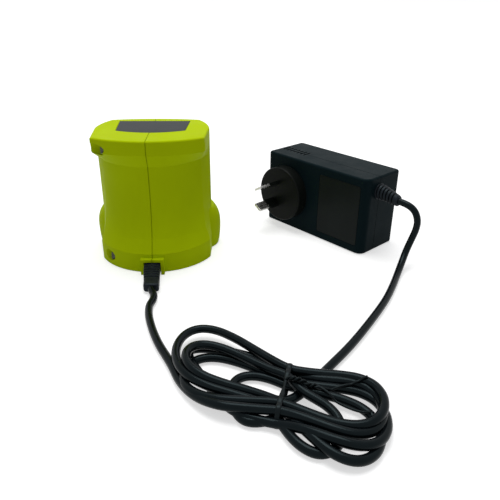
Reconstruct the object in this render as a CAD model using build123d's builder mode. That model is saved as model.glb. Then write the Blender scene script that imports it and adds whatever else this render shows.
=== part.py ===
from build123d import *
from math import cos, pi, radians, sin, tan
import os

# Battery charger: a cradle that drops over the stem of a battery pack, a plug-in adaptor, and their lead.
# Millimetres, +Z up. The origin is on the table, on the axis of the cradle's stem pocket. The cradle's
# bowed front faces -Y. The adaptor lies on its long side to the right, turned about Z.

os.makedirs("parts", exist_ok=True)

# ---------------------------------------------------------------- driving dimensions: cradle shells
cradle_height = 79.0            # table to top face
cradle_front = 42.5             # pocket axis to the front of the base
cradle_back = 19.5              # pocket axis to the back
cradle_wall = 2.5               # shell wall, floor and roof
base_half_width = 34.0          # at the base's front corners
body_half_width = 34.7          # at the shoulders, where front and side meet
side_draw = 2.3                 # the sides have drawn in by this at side_place
back_half_width = 27.9          # at the back corners
base_corner_run = 20.7          # front of the bow to the base's front corners, along Y
waist_corner_run = 17.4
flange_corner_run = 9.0
shoulder_place = -4.0           # Y of the shoulders
side_place = 8.0                # Y of a point half way along the drawn-in sides
back_bow = 2.8                  # the back corners lie this far in front of the back's middle
base_height = 12.0              # upright band round the foot
band_top = 20.0                 # the foot's slope ends here
waist_profile = (               # (height, front setback) of the waist's hollow, top and foot included
    (band_top, 4.6),
    (31.0, 7.9),
    (44.0, 9.4),
    (63.0, 9.6),
)
waist_half_width = 29.6         # at the waist's front corners
waist_foot_spread = 2.0         # the corners lie this much further out at its foot
flange_edge = 70.6              # the flare ends and the flange is upright
flange_setback = 6.2            # front setback of the top flange
flange_half_width = 32.7        # at the flange's front corners
top_edge_radius = 1.2           # softened rim of the top face
corner_radius = 2.2             # softened upright corners
shoulder_radius = 9.0
seam_groove_width = 0.3         # witness line between two shell halves
seam_groove_depth = 0.6
cheek_reach = 38.0              # half-width over the latch cheeks
cheek_height = 27.0             # the cheeks fade into the flank here
cheek_profile = (               # (height, reach) of a cheek, as shares of its height and standing-out
    (0.0, 0.55),
    (0.2, 0.86),
    (0.45, 1.0),
    (0.66, 0.93),
    (0.84, 0.55),
    (1.0, -0.25),
)
cheek_front = -11.0             # Y of the cheek's front end
cheek_middle = 10.0             # Y where it stands out most

# ---------------------------------------------------------------- driving dimensions: stem pocket
pocket_width = 42.0             # inside, across X
pocket_depth = 26.0             # inside, along Y
pocket_corner = 3.0
pocket_height = 58.0            # table to the terminal block
liner_wall = 1.8
liner_rise = 0.5                # the liner's mouth stays this far above the table
liner_flange = 1.9              # how far the liner's seat stands out
liner_flange_thickness = 1.6
latch_window_width = 12.0
latch_window_bottom = 5.0
latch_window_top = 18.0
block_thickness = 6.0           # terminal block
contact_pitch = 12.0            # between neighbouring contacts
contact_width = 4.0
contact_thickness = 0.5
contact_slot_width = 5.6        # slot in the block that a contact flexes into
contact_slot_depth = 3.4
contact_root = 8.0              # Y of the line that the leaf bends at
contact_length = 17.0
contact_drop = 4.6              # how far the free end hangs below the root
lug_height = 3.0                # solder tab above the block
lug_length = 3.2

# ---------------------------------------------------------------- driving dimensions: fixings and board
screw_radius = 1.5
screw_head_radius = 2.9
screw_head_height = 2.2
screw_length = 32.0             # under the head
recess_radius = 3.5             # hole that sinks the head in the left shell
boss_radius = 4.3
seat_depth = 24.0               # centre plane to the face that a screw head sits on
front_screw_low = (-30.5, 6.4)  # (Y, Z) of each screw's axis
front_screw_high = (-28.0, 72.6)
back_screw_high = (8.0, 72.6)
board_width = 42.0
board_bottom = 15.0
board_height = 48.0
board_thickness = 1.6
board_face = -20.0              # Y of the board's back face
board_groove = 2.0              # how deep the rails hold its edges

# ---------------------------------------------------------------- driving dimensions: label and lead
label_width = 44.0
label_front = -11.5             # Y of the label's front corners
label_bow = 5.0                 # its front edge bows forward by this
label_back = 12.0
label_thickness = 0.4
label_margin = 0.3              # clearance round the label in its recess
collar_width = 14.0
collar_height = 9.8
collar_reach = 3.2              # stands out of the base's front
relief_width = 9.6
relief_height = 7.2
relief_length = 25.0
relief_tip_width = 8.8
relief_sway = 1.8               # the lead draws the tip this far to the right
relief_tip_height = 5.4
relief_rise = 0.6               # underside above the table
relief_rib_count = 6
relief_flange = 1.4             # flange trapped behind the collar
relief_seat_gap = 0.7           # lets the flange clear the bowed wall

# ---------------------------------------------------------------- driving dimensions: adaptor
case_length = 86.0
case_height = 51.0              # up from the table, as it lies
case_depth = 34.4               # from the label face to the back
case_wall = 2.2
case_corner = 2.6
case_front_corner = 5.4         # the upright edge beside the lead
case_edge = 1.4
case_turn = -49.5               # degrees about Z
case_corner_x = 74.7            # the label face's plug-end corner on the table
case_corner_y = 41.6
case_seam = 13.0                # depth of the parting line behind the label face
plug_radius = 18.75
plug_reach = 7.9
plug_centre = 18.7              # from the plug end
plug_edge = 1.0
spigot_radius = 15.0
spigot_depth = 6.0
pin_circle = 7.92               # pin centres from the plug's centre
pin_width = 6.35
pin_thickness = 1.63
pin_length = 17.06              # beyond the plug's face
pin_sleeve_length = 8.0
pin_sleeve_wall = 0.35
pin_tail = 5.0                  # behind the plug's spigot
vent_count = 7
vent_width = 1.3
vent_length = 7.5
vent_pitch = 3.2
vent_start = 4.2                # first vent's centre from the plug end
patch_width = 33.0              # bare rating patch on the label face
patch_height = 40.0
patch_centre = 64.5
patch_sink = 0.25
adaptor_relief_length = 15.0
adaptor_relief_droop = 2.6      # its tip hangs lower than its root by this
adaptor_relief_radius = 4.6
adaptor_relief_tip = 3.2
adaptor_relief_height = 41.4    # its root's axis above the table
adaptor_relief_ribs = 5
circuit_face = 13.6             # depth of the adaptor board's label-side face
circuit_length = 76.0
circuit_height = 42.0
circuit_thickness = 1.6

# ---------------------------------------------------------------- driving dimensions: cord
cord_radius = 2.1
cord_rest = cord_radius + 0.05  # axis height of the cord where it lies on the table
bend_share = 0.45               # part of the shorter run that an arc takes up
hank_height = 10.6
hank_edge = 2.0                 # rounded rim
tie_from = (73.2, -141.0)       # the tie crosses the hank along this line
tie_to = (62.6, -180.0)
tie_width = 1.6
tie_thickness = 1.1
tie_wire = 0.7                  # radius of the tie's wires
tie_gap = 0.1                   # under the twist
twist_share = 0.3               # where the twist starts, along the tie
twist_to = (84.0, -152.5)       # where it ends and its tails start
tail_tips = ((104.5, -153.0), (101.0, -166.5))

slip = 0.2                      # clearance of a part dropped in beside another
close = 0.05                    # clearance round a screw in its hole


# ================================================================ cradle
def mirrored(x, y):
    """The same point on both sides of the centre plane."""
    return (-x, y), (x, y)


def cradle_outline(setback, half_width, corner_run, inset=0.0):
    """The cradle's plan at one level: bowed front, straight flanks, sides that draw in, bowed back."""
    front = -cradle_front + setback
    shoulder = (body_half_width - inset, shoulder_place)
    side = (body_half_width - side_draw - inset, side_place)
    back_corner = (back_half_width - inset, cradle_back - back_bow - inset)
    corner = (half_width - inset, front + corner_run + 0.6 * inset)
    with BuildSketch() as outline:
        with BuildLine():
            ThreePointArc(mirrored(*corner)[0], (0, front + inset), corner)
            ThreePointArc(mirrored(*back_corner)[0], (0, cradle_back - inset), back_corner)
            for near, far, middle, end in zip(
                mirrored(*corner), mirrored(*shoulder), mirrored(*side), mirrored(*back_corner)
            ):
                Line(near, far)
                ThreePointArc(far, middle, end)
        make_face()
        fillet(outline.vertices().sort_by(Axis.Y)[-2:], corner_radius)
        fillet(outline.vertices().sort_by(Axis.Y)[2:4], shoulder_radius)
        fillet(outline.vertices().sort_by(Axis.Y)[:2], corner_radius)
    return outline.sketch


def base_plan(inset):
    return cradle_outline(0, base_half_width, base_corner_run, inset)


def waist_plan(setback, inset):
    foot_setback, top_setback = waist_profile[0][1], waist_profile[-1][1]
    spread = waist_foot_spread * (top_setback - setback) / (top_setback - foot_setback)
    return cradle_outline(setback, waist_half_width + spread, waist_corner_run, inset)


def flange_plan(inset):
    return cradle_outline(flange_setback, flange_half_width, flange_corner_run, inset)


def cheek_plan(inset, reach, side):
    """Plan of one latch cheek: a shallow bow outside the side wall."""
    front_end = (side * (body_half_width - 4.0 - inset), cheek_front + inset)
    back_end = (side * (back_half_width - 1.0 - inset), cradle_back - back_bow - inset)
    root = (side * (back_half_width - 3.0), 0)
    with BuildSketch() as outline:
        with BuildLine():
            ThreePointArc(front_end, (side * (reach - inset), cheek_middle), back_end)
            Line(back_end, root)
            Line(root, front_end)
        make_face()
    return outline.sketch


def cradle_body(bottom, top, inset):
    """The cradle's closed form between two heights, moved inwards by inset."""
    waist_foot, waist_top = waist_profile[0], waist_profile[-1]
    with BuildPart() as body:
        for height in (bottom, base_height):
            with BuildSketch(Plane.XY.offset(height)):
                add(base_plan(inset))
        with BuildSketch(Plane.XY.offset(waist_foot[0])):
            add(waist_plan(waist_foot[1], inset))
        loft(ruled=True)
        for height, setback in waist_profile:
            with BuildSketch(Plane.XY.offset(height)):
                add(waist_plan(setback, inset))
        loft()
        with BuildSketch(Plane.XY.offset(waist_top[0])):
            add(waist_plan(waist_top[1], inset))
        for height in (flange_edge, top):
            with BuildSketch(Plane.XY.offset(height)):
                add(flange_plan(inset))
        loft(ruled=True)
        for side in (-1, 1):
            for rise, fullness in cheek_profile:
                reach = body_half_width + fullness * (cheek_reach - body_half_width)
                with BuildSketch(Plane.XY.offset(bottom + rise * (cheek_height - bottom))):
                    add(cheek_plan(inset, reach, side))
            loft()
    return body.part


screws = (front_screw_low, front_screw_high, back_screw_high)


def along_x(start, stations, radius, length):
    """Round bars along +X, one at each (Y, Z) station, from X = start."""
    with BuildPart() as bars:
        with BuildSketch(Plane.YZ.offset(start)):
            with Locations(*stations):
                Circle(radius)
        extrude(amount=length)
    return bars.part


with BuildPart() as cradle_form:
    add(cradle_body(0, cradle_height, 0))
    with BuildSketch(Plane.XZ.offset(cradle_front + collar_reach)):
        with Locations((0, collar_height / 2)):
            Rectangle(collar_width, collar_height)
    extrude(amount=-collar_reach - cradle_wall)
    fillet(cradle_form.faces().sort_by(Axis.Z)[-1].edges(), top_edge_radius)

cradle_cavity = cradle_body(cradle_wall, cradle_height - cradle_wall, cradle_wall)

with BuildPart() as seam_line:
    with BuildSketch(Plane.YZ.offset(-seam_groove_width / 2)):
        Rectangle(4 * cradle_front, 4 * cradle_height)
    extrude(amount=seam_groove_width)
    add(
        cradle_body(seam_groove_depth, cradle_height - seam_groove_depth, seam_groove_depth),
        mode=Mode.SUBTRACT,
    )

liner_width = pocket_width + 2 * liner_wall
liner_depth = pocket_depth + 2 * liner_wall
block_top = pocket_height + block_thickness
roof_under = cradle_height - cradle_wall
relief_axis = relief_rise + relief_height / 2
rail_reach = 1.5
post_size = (4.0, 8.0)
post_place = (17.0, -2.0)

with BuildSketch() as label_outline:
    label_corner = (label_width / 2 - 1.5, label_front)
    label_back_corner = (label_width / 2, label_back)
    with BuildLine():
        Line(mirrored(*label_back_corner)[0], label_back_corner)
        ThreePointArc(mirrored(*label_corner)[0], (0, label_front - label_bow), label_corner)
        for near, far in zip(mirrored(*label_corner), mirrored(*label_back_corner)):
            Line(near, far)
    make_face()

with BuildPart() as cradle_inside:
    # What both shell halves share: rails for the board and posts that hold the terminal block down.
    for side in (-1, 1):
        with BuildSketch(Plane.XY.offset(board_bottom - 1.0)):
            rail_start = board_width / 2 - board_groove
            with Locations((side * (rail_start + 8.0), board_face - board_thickness / 2)):
                Rectangle(16.0, board_thickness + 2 * rail_reach)
        extrude(amount=board_height + 1.0)
        with BuildSketch(Plane.XY.offset(block_top)):
            with Locations((side * post_place[0], post_place[1])):
                Rectangle(*post_size)
        extrude(amount=roof_under - block_top + 0.5)
    with BuildSketch(Plane.XY.offset(board_bottom)):
        with Locations((0, board_face - board_thickness / 2)):
            Rectangle(board_width + 2 * close, board_thickness + 2 * close)
    extrude(amount=board_height + 1.0, mode=Mode.SUBTRACT)
    add(cradle_form.part, mode=Mode.INTERSECT)


def shell_half(keep):
    """One half of the cradle's shell, before its screw bosses are added."""
    with BuildPart() as half:
        add(cradle_form.part)
        add(cradle_cavity, mode=Mode.SUBTRACT)
        add(cradle_inside.part)
        with BuildSketch(Plane.XY):
            RectangleRounded(liner_width + 2 * slip, liner_depth + 2 * slip, pocket_corner + liner_wall)
        extrude(amount=cradle_wall, mode=Mode.SUBTRACT)
        with BuildSketch(Plane.XZ.offset(cradle_front + collar_reach)):
            with Locations((0, (relief_rise + relief_height) / 2 + slip)):
                Rectangle(relief_width + 2 * slip, relief_rise + relief_height + 2 * slip)
        extrude(amount=-collar_reach - cradle_wall - relief_seat_gap, mode=Mode.SUBTRACT)
        with BuildSketch(Plane.XY.offset(cradle_height - label_thickness)):
            add(label_outline.sketch)
            offset(amount=label_margin)
        extrude(amount=label_thickness + 1, mode=Mode.SUBTRACT)
        split(bisect_by=Plane.YZ, keep=keep)
    return half.part


with BuildPart() as left_bosses:
    add(along_x(-base_half_width, screws, recess_radius + 1.2, base_half_width))
    add(cradle_form.part, mode=Mode.INTERSECT)

with BuildPart() as right_bosses:
    add(along_x(0, screws, boss_radius, base_half_width))
    add(cradle_form.part, mode=Mode.INTERSECT)

with BuildPart() as cradle_left_shell:
    add(shell_half(Keep.BOTTOM))
    add(left_bosses.part)
    add(along_x(-2 * base_half_width, screws, recess_radius, 2 * base_half_width - seat_depth), mode=Mode.SUBTRACT)
    add(along_x(-2 * base_half_width, screws, screw_radius + slip, 2 * base_half_width), mode=Mode.SUBTRACT)
    add(seam_line.part, mode=Mode.SUBTRACT)

with BuildPart() as cradle_right_shell:
    add(shell_half(Keep.TOP))
    add(right_bosses.part)
    add(along_x(0, screws, screw_radius + close, screw_length - seat_depth + 1), mode=Mode.SUBTRACT)
    add(seam_line.part, mode=Mode.SUBTRACT)

with BuildPart() as cradle_screws:
    with BuildSketch(Plane.YZ.offset(-seat_depth - screw_head_height)):
        with Locations(*screws):
            Circle(screw_head_radius)
            RegularPolygon(screw_radius * 0.9, 6, mode=Mode.SUBTRACT)
    extrude(amount=screw_head_height - 1.0)
    with BuildSketch(Plane.YZ.offset(-seat_depth - 1.0)):
        with Locations(*screws):
            Circle(screw_head_radius)
    extrude(amount=1.0)
    with BuildSketch(Plane.YZ.offset(-seat_depth)):
        with Locations(*screws):
            Circle(screw_radius)
    extrude(amount=screw_length)

# ---------------------------------------------------------------- stem pocket and contacts
with BuildPart() as pocket_liner:
    with BuildSketch(Plane.XY.offset(liner_rise)):
        RectangleRounded(liner_width, liner_depth, pocket_corner + liner_wall)
    extrude(amount=pocket_height - liner_rise)
    with BuildSketch(Plane.XY.offset(cradle_wall)):
        Rectangle(liner_width + 2 * liner_flange, liner_depth / 2)
    extrude(amount=liner_flange_thickness)
    with BuildSketch(Plane.XY):
        RectangleRounded(pocket_width, pocket_depth, pocket_corner)
    extrude(amount=pocket_height, mode=Mode.SUBTRACT)
    with BuildSketch(Plane.YZ):
        with Locations((0, (latch_window_bottom + latch_window_top) / 2)):
            Rectangle(latch_window_width, latch_window_top - latch_window_bottom)
    extrude(amount=liner_width, both=True, mode=Mode.SUBTRACT)

contact_ceiling = pocket_height + contact_slot_depth
contact_xs = (-contact_pitch, 0.0, contact_pitch)
lug_tab = contact_root + 0.3 + lug_length

with BuildPart() as terminal_block:
    with BuildSketch(Plane.XY.offset(pocket_height)):
        RectangleRounded(liner_width, liner_depth, pocket_corner + liner_wall)
    extrude(amount=block_thickness)
    with BuildSketch(Plane.XY.offset(pocket_height)):
        for x in contact_xs:
            with Locations((x, (lug_tab - pocket_depth / 2) / 2)):
                Rectangle(contact_slot_width, lug_tab + pocket_depth / 2)
    extrude(amount=contact_slot_depth, mode=Mode.SUBTRACT)
    with BuildSketch(Plane.XY.offset(pocket_height)):
        for x in contact_xs:
            with Locations((x, lug_tab - contact_thickness / 2)):
                Rectangle(contact_width + 2 * close, contact_thickness)
    extrude(amount=block_thickness, mode=Mode.SUBTRACT)


def contact_leaf(x):
    """A spring leaf that hangs from its root into the pocket and ends in an upturned toe."""
    root_top = contact_ceiling - 0.3
    toe = contact_root - contact_length
    with BuildPart() as leaf:
        with BuildSketch(Plane.YZ.offset(x - contact_width / 2)):
            with BuildLine():
                Polyline(
                    (contact_root, root_top),
                    (toe, root_top - contact_drop),
                    (toe - 2.2, root_top - contact_drop + 1.6),
                    (toe - 2.2, root_top - contact_drop + 1.6 - contact_thickness),
                    (toe, root_top - contact_drop - contact_thickness),
                    (contact_root, root_top - contact_thickness),
                    close=True,
                )
            make_face()
        extrude(amount=contact_width)
    return leaf.part


contact_negative = contact_leaf(contact_xs[0])
contact_sense = contact_leaf(contact_xs[1])
contact_positive = contact_leaf(contact_xs[2])

with BuildPart() as contact_lugs:
    for x in contact_xs:
        with BuildSketch(Plane.XY.offset(contact_ceiling - contact_thickness)):
            with Locations((x, lug_tab - lug_length / 2)):
                Rectangle(contact_width, lug_length)
        extrude(amount=contact_thickness)
        with BuildSketch(Plane.XY.offset(contact_ceiling - contact_thickness)):
            with Locations((x, lug_tab - contact_thickness / 2)):
                Rectangle(contact_width, contact_thickness)
        extrude(amount=block_top + lug_height - contact_ceiling + contact_thickness)

# ---------------------------------------------------------------- charge board
board_front = board_face - board_thickness
board_top = board_bottom + board_height

with BuildPart() as charge_board:
    with BuildSketch(Plane.XZ.offset(-board_face)):
        with Locations((0, board_bottom + board_height / 2)):
            Rectangle(board_width, board_height)
    extrude(amount=board_thickness)


def on_board(x, z, width, height, reach):
    """A block that stands on the board's front face."""
    with BuildPart() as block:
        with BuildSketch(Plane.XZ.offset(-board_front)):
            with Locations((x, z)):
                Rectangle(width, height)
        extrude(amount=reach)
    return block.part


def drum_on_board(x, z, radius, reach):
    """A drum that stands on the board's front face."""
    with BuildPart() as drum:
        with BuildSketch(Plane.XZ.offset(-board_front)):
            with Locations((x, z)):
                Circle(radius)
        extrude(amount=reach)
        fillet(drum.faces().sort_by(Axis.Y)[0].edges(), 0.5)
    return drum.part


board_capacitor = drum_on_board(-9.0, 54.0, 4.0, 6.0)
control_chip = on_board(5.0, 52.0, 10.0, 7.5, 2.0)
power_transistor = on_board(9.0, 33.0, 10.0, 15.0, 4.4)
board_diodes = Compound(
    children=[on_board(-12.0, z, 7.0, 2.6, 2.4) for z in (26.0, 32.0, 38.0)]
)


# ---------------------------------------------------------------- wires
def wire(radius, bend, *points):
    """A round insulated wire along straight runs with equal bends."""
    with BuildPart() as lead:
        with BuildLine() as path:
            FilletPolyline(*points, radius=bend)
        with BuildSketch(Plane(origin=path.line @ 0, z_dir=path.line % 0)):
            Circle(radius)
        sweep()
    return lead.part


wire_radius = 0.6
wire_bend = 1.4
wire_height = block_top + lug_height / 2
lug_front = lug_tab - contact_thickness
drop_y = (board_face - liner_depth / 2) / 2

contact_leads = Compound(
    children=[
        wire(
            wire_radius,
            wire_bend,
            (x, lug_front, wire_height),
            (x, drop_y, wire_height),
            (x, drop_y, board_top - 4.0),
            (x, board_face, board_top - 4.0),
        )
        for x in contact_xs
    ]
)

relief_back = -cradle_front + cradle_wall + relief_seat_gap
relief_root = -cradle_front - collar_reach
supply_start = relief_back + relief_flange
supply_leads = Compound(
    children=[
        wire(
            wire_radius,
            wire_bend,
            (x, supply_start, relief_axis),
            (x, supply_start + 1.6, relief_axis),
            (x, supply_start + 1.6, board_bottom - 2.0),
            (x, board_front - 8.0, board_bottom + 5.0),
            (x, board_front, board_bottom + 5.0),
        )
        for x in (-1.3, 1.3)
    ]
)

# ---------------------------------------------------------------- cradle label and strain relief
with BuildPart() as cradle_label:
    with BuildSketch(Plane.XY.offset(cradle_height - label_thickness)):
        add(label_outline.sketch)
    extrude(amount=label_thickness)

relief_end = -cradle_front - relief_length
relief_tip_axis = relief_rise + relief_tip_height / 2

with BuildPart() as cradle_strain_relief:
    with BuildSketch(Plane.XZ.offset(-relief_back)):
        with Locations((0, relief_axis)):
            RectangleRounded(relief_width, relief_height, 1.2)
    extrude(amount=relief_back - relief_root)
    with BuildSketch(Plane.XZ.offset(-relief_root)):
        with Locations((0, relief_axis)):
            RectangleRounded(relief_width, relief_height, 1.2)
    with BuildSketch(Plane.XZ.offset(-relief_end)):
        with Locations((relief_sway, relief_tip_axis)):
            RectangleRounded(relief_tip_width, relief_tip_height, 1.2)
    loft()
    rib_room = relief_length - collar_reach
    rib_pitch = 0.72 * rib_room / relief_rib_count
    for i in range(relief_rib_count):
        along = (i + 0.6) * rib_pitch / rib_room
        rib_width = relief_width + 0.9 + along * (relief_tip_width - relief_width)
        rib_height = relief_height + 0.5 + along * (relief_tip_height - relief_height)
        with BuildSketch(Plane.XZ.offset(-relief_root + (i + 0.6) * rib_pitch)):
            with Locations((along * relief_sway, relief_rise - 0.25 + rib_height / 2)):
                RectangleRounded(rib_width, rib_height, 1.4)
        extrude(amount=0.5 * rib_pitch)
    with BuildSketch(Plane.XZ.offset(-relief_back)):
        with Locations((0, cradle_wall + 0.1 + relief_height / 2)):
            Rectangle(relief_width + 3.0, relief_height)
    extrude(amount=-relief_flange)

# ================================================================ adaptor
along_case = Vector(cos(radians(case_turn)), sin(radians(case_turn)), 0)
into_case = Vector(-sin(radians(case_turn)), cos(radians(case_turn)), 0)
up = Vector(0, 0, 1)


def case_point(x, y, z):
    """A point given along, into and up the adaptor, from its plug-end corner on the table."""
    return Vector(case_corner_x, case_corner_y, 0) + along_case * x + into_case * y + up * z


def label_side(x, y, z):
    """A plane that looks out of the label face: X along the case, Y up."""
    return Plane(origin=case_point(x, y, z), x_dir=along_case, z_dir=-into_case)


def lead_end(x, y, z):
    """A plane that looks out of the lead end: X into the case, Y up."""
    return Plane(origin=case_point(x, y, z), x_dir=into_case, z_dir=along_case)


def top_side(x, y, z):
    """A plane that looks up: X along the case, Y into it."""
    return Plane(origin=case_point(x, y, z), x_dir=along_case, z_dir=up)


def case_block(inset):
    """The adaptor's outer form, moved inwards by inset."""
    length = case_length - 2 * inset
    depth = case_depth - 2 * inset
    height = case_height - 2 * inset
    with BuildPart() as block:
        with BuildSketch(top_side(case_length / 2, case_depth / 2, inset)) as plan:
            Rectangle(length, depth)
            by_lead_front = plan.vertices().sort_by(lambda corner: corner.Y - corner.X)
            fillet(by_lead_front[1:], case_corner - inset)
            lead_front = plan.vertices().sort_by(lambda corner: corner.Y - corner.X)[0]
            fillet(lead_front, case_front_corner - inset)
        extrude(amount=height)
        fillet(block.faces().sort_by(Axis.Z)[-1].edges(), case_edge - inset / 2)
        fillet(block.faces().sort_by(Axis.Z)[0].edges(), case_edge - inset / 2)
    return block.part


case_form = case_block(0)
case_cavity = case_block(case_wall)

plug_middle = case_height / 2
relief_middle = adaptor_relief_height
lead_wall = case_length - case_wall
relief_neck = adaptor_relief_radius - 0.8

with BuildPart() as case_seam_line:
    with BuildSketch(label_side(case_length / 2, case_seam - seam_groove_width / 2, case_height / 2)):
        Rectangle(2 * case_length, 2 * case_height)
    extrude(amount=-seam_groove_width)
    add(case_block(seam_groove_depth), mode=Mode.SUBTRACT)

with BuildPart() as case_openings:
    # Vents across the parting line on the upper long side, and the way out for the lead.
    for i in range(vent_count):
        with BuildSketch(top_side(vent_start + i * vent_pitch, case_seam + 1.0, case_height - 2 * case_wall)):
            SlotOverall(vent_length, vent_width, rotation=90)
        extrude(amount=3 * case_wall)
    with BuildSketch(lead_end(lead_wall - 1, case_seam, relief_middle)):
        Circle(relief_neck + close)
    extrude(amount=case_wall + 2)
    with BuildSketch(label_side(plug_centre, -1, plug_middle)):
        Circle(spigot_radius + close)
    extrude(amount=-case_wall - 2)
    with BuildSketch(label_side(patch_centre, -1, plug_middle)):
        RectangleRounded(patch_width + 2 * label_margin, patch_height + 2 * label_margin, 1.5)
    extrude(amount=-patch_sink - 1)

circuit_back = circuit_face + circuit_thickness
circuit_posts = (
    (8.0, 10.0),
    (8.0, case_height - 10.0),
    (circuit_length - 2.0, 10.0),
    (circuit_length - 14.0, case_height - 10.0),
)


def case_posts(start, length):
    """Four round posts into the case, from a depth behind the label face."""
    with BuildPart() as posts:
        for x, z in circuit_posts:
            with BuildSketch(label_side(x, start, z)):
                Circle(2.4)
            extrude(amount=-length)
    return posts.part


def case_half(keep):
    """One shell of the adaptor, cut at the parting line, without its posts."""
    with BuildPart() as half:
        add(case_form)
        add(case_cavity, mode=Mode.SUBTRACT)
        split(bisect_by=label_side(0, case_seam, 0), keep=keep)
    return half.part


with BuildPart() as adaptor_front_shell:
    add(case_half(Keep.TOP))
    add(case_posts(case_wall - 0.5, circuit_face - case_wall + 0.5))
    add(case_openings.part, mode=Mode.SUBTRACT)
    add(case_seam_line.part, mode=Mode.SUBTRACT)

with BuildPart() as adaptor_back_shell:
    add(case_half(Keep.BOTTOM))
    add(case_posts(circuit_back, case_depth - case_wall - circuit_back + 0.5))
    add(case_openings.part, mode=Mode.SUBTRACT)
    add(case_seam_line.part, mode=Mode.SUBTRACT)

with BuildPart() as rating_patch:
    with BuildSketch(label_side(patch_centre, patch_sink, plug_middle)):
        RectangleRounded(patch_width, patch_height, 1.5)
    extrude(amount=patch_sink)

# ---------------------------------------------------------------- plug and pins
pin_names = ("active", "neutral")
pin_signs = (1, -1)


def pin_plane(sign, depth):
    """A plane across one pin: its X runs along the pin's width, and it looks out of the plug."""
    across = along_case * -cos(radians(30)) - up * (sign * sin(radians(30)))
    middle = case_point(
        plug_centre - pin_circle * cos(radians(60)), depth, plug_middle + sign * pin_circle * sin(radians(60))
    )
    return Plane(origin=middle, x_dir=across, z_dir=-into_case)


def pin_blade(sign):
    """A flat pin from its tail inside the case to its chamfered tip."""
    with BuildPart() as blade:
        with BuildSketch(pin_plane(sign, spigot_depth + pin_tail)):
            Rectangle(pin_width, pin_thickness)
        extrude(amount=pin_tail + spigot_depth + plug_reach + pin_length)
        tip = pin_plane(sign, -plug_reach - pin_length).origin
        tip_face = blade.faces().sort_by(lambda face: (face.center() - tip).length)[0]
        chamfer(tip_face.edges(), 0.45)
    return blade.part


def pin_sleeve(sign):
    """The insulation round the root of a pin."""
    with BuildPart() as sleeve:
        with BuildSketch(pin_plane(sign, -plug_reach)):
            Rectangle(pin_width + 2 * pin_sleeve_wall, pin_thickness + 2 * pin_sleeve_wall)
            Rectangle(pin_width, pin_thickness, mode=Mode.SUBTRACT)
        extrude(amount=pin_sleeve_length)
    return sleeve.part


with BuildPart() as plug_insert:
    with BuildSketch(label_side(plug_centre, 0, plug_middle)):
        Circle(plug_radius)
    extrude(amount=plug_reach)
    fillet(plug_insert.edges().sort_by(lambda edge: edge.center().dot(into_case))[0], plug_edge)
    with BuildSketch(label_side(plug_centre, spigot_depth, plug_middle)):
        Circle(spigot_radius)
    extrude(amount=spigot_depth)
    for sign in pin_signs:
        with BuildSketch(pin_plane(sign, spigot_depth)):
            Rectangle(pin_width, pin_thickness)
        extrude(amount=spigot_depth + plug_reach, mode=Mode.SUBTRACT)

# ---------------------------------------------------------------- adaptor circuit
with BuildPart() as adaptor_board:
    with BuildSketch(label_side(case_wall + 2 + circuit_length / 2, circuit_back, plug_middle)):
        Rectangle(circuit_length, circuit_height)
    extrude(amount=circuit_thickness)


def on_circuit(x, z, width, height, reach):
    """A block that stands on the adaptor board's back face."""
    with BuildPart() as block:
        with BuildSketch(label_side(x, circuit_back, z)):
            Rectangle(width, height)
        extrude(amount=-reach)
    return block.part


def can_on_circuit(x, z, radius, reach):
    """A round can that stands on the adaptor board's back face."""
    with BuildPart() as can:
        with BuildSketch(label_side(x, circuit_back, z)):
            Circle(radius)
        extrude(amount=-reach)
        fillet(can.edges().sort_by(lambda edge: edge.center().dot(into_case))[-1], 0.6)
    return can.part


mains_fuse = on_circuit(13.0, 15.0, 4.0, 9.0, 4.0)
bridge_rectifier = on_circuit(16.0, 32.0, 8.0, 9.0, 3.0)
bulk_capacitor = can_on_circuit(26.5, 16.0, 6.5, 14.6)
output_capacitors = Compound(children=[can_on_circuit(71.0, z, 4.0, 12.5) for z in (19.0, 29.0)])
output_choke = can_on_circuit(60.0, 13.5, 5.0, 8.0)

with BuildPart() as switch_transistor:
    add(on_circuit(27.0, 34.0, 10.0, 4.4, 14.0))

with BuildPart() as heat_sink:
    add(on_circuit(29.0, 37.8, 24.0, 1.6, 14.5))
    add(on_circuit(29.0, 39.4, 1.6, 3.2, 14.5))
    add(on_circuit(35.0, 39.4, 1.6, 3.2, 14.5))
    add(on_circuit(23.0, 39.4, 1.6, 3.2, 14.5))

transformer_x = 45.5
transformer_z = 22.0
core_width = 21.0
core_depth = 15.0
core_thickness = 7.0
core_leg = 3.0
winding_width = 14.0
winding_height = 18.0

with BuildPart() as transformer_core:
    with BuildSketch(label_side(transformer_x, circuit_back, transformer_z)):
        Rectangle(core_width, core_thickness)
    extrude(amount=-core_depth)
    window_width = (core_width - 2 * core_leg - core_thickness) / 2
    for side in (-1, 1):
        window_x = transformer_x + side * (core_thickness + window_width) / 2
        with BuildSketch(top_side(window_x, circuit_back + core_depth / 2, transformer_z - core_thickness)):
            Rectangle(window_width, core_depth - 2 * core_leg)
        extrude(amount=2 * core_thickness, mode=Mode.SUBTRACT)

with BuildPart() as transformer_winding:
    with BuildSketch(label_side(transformer_x, circuit_back + core_leg, transformer_z)):
        RectangleRounded(winding_width, winding_height, 3.0)
        Rectangle(core_thickness, core_thickness, mode=Mode.SUBTRACT)
    extrude(amount=-core_depth + 2 * core_leg)

# ---------------------------------------------------------------- adaptor leads and strain relief
with BuildPart() as mains_leads:
    for sign in pin_signs:
        tail = pin_plane(sign, circuit_face)
        with BuildSketch(tail):
            Circle(wire_radius)
        extrude(amount=circuit_face - spigot_depth - pin_tail)

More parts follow.
